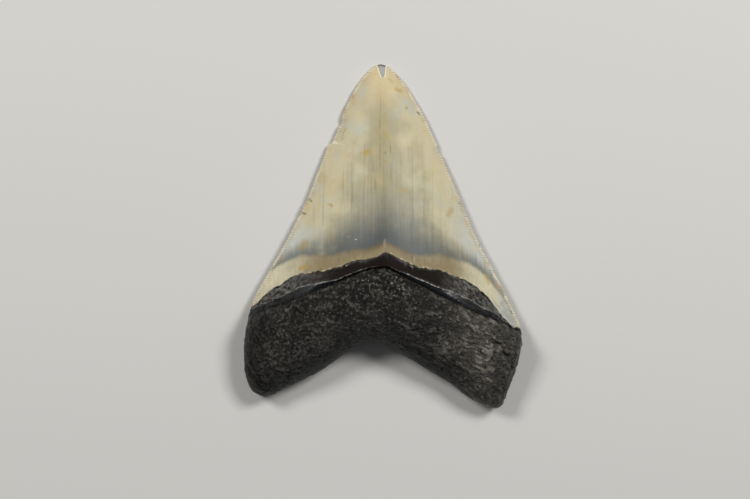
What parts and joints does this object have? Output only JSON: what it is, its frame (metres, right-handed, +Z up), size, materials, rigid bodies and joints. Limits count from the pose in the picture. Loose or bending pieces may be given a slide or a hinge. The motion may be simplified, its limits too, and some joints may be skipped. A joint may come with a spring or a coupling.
{
  "type": "fossil megalodon tooth",
  "caption": "Fossil giant shark tooth in one piece: serrated triangular enamel crown, dark chevron neck band and a thick forked root, lying on its flat face.",
  "frame": {"origin": "on the resting plane, under the middle of the tooth's bounding box", "axes": "+Z up, out of the domed inner (lingual) face; +Y towards the crown's tip; +X across the tooth, to the right with the tip away from you"},
  "size_m": [0.0856, 0.1062, 0.0213],
  "materials": {
    "fossil_tooth": "glossy cream and blue-grey enamel crown, satin black neck band, rough black root"
  },
  "bodies": {
    "root": {"tooth": "fossil_tooth"}
  },
  "joints": []
}
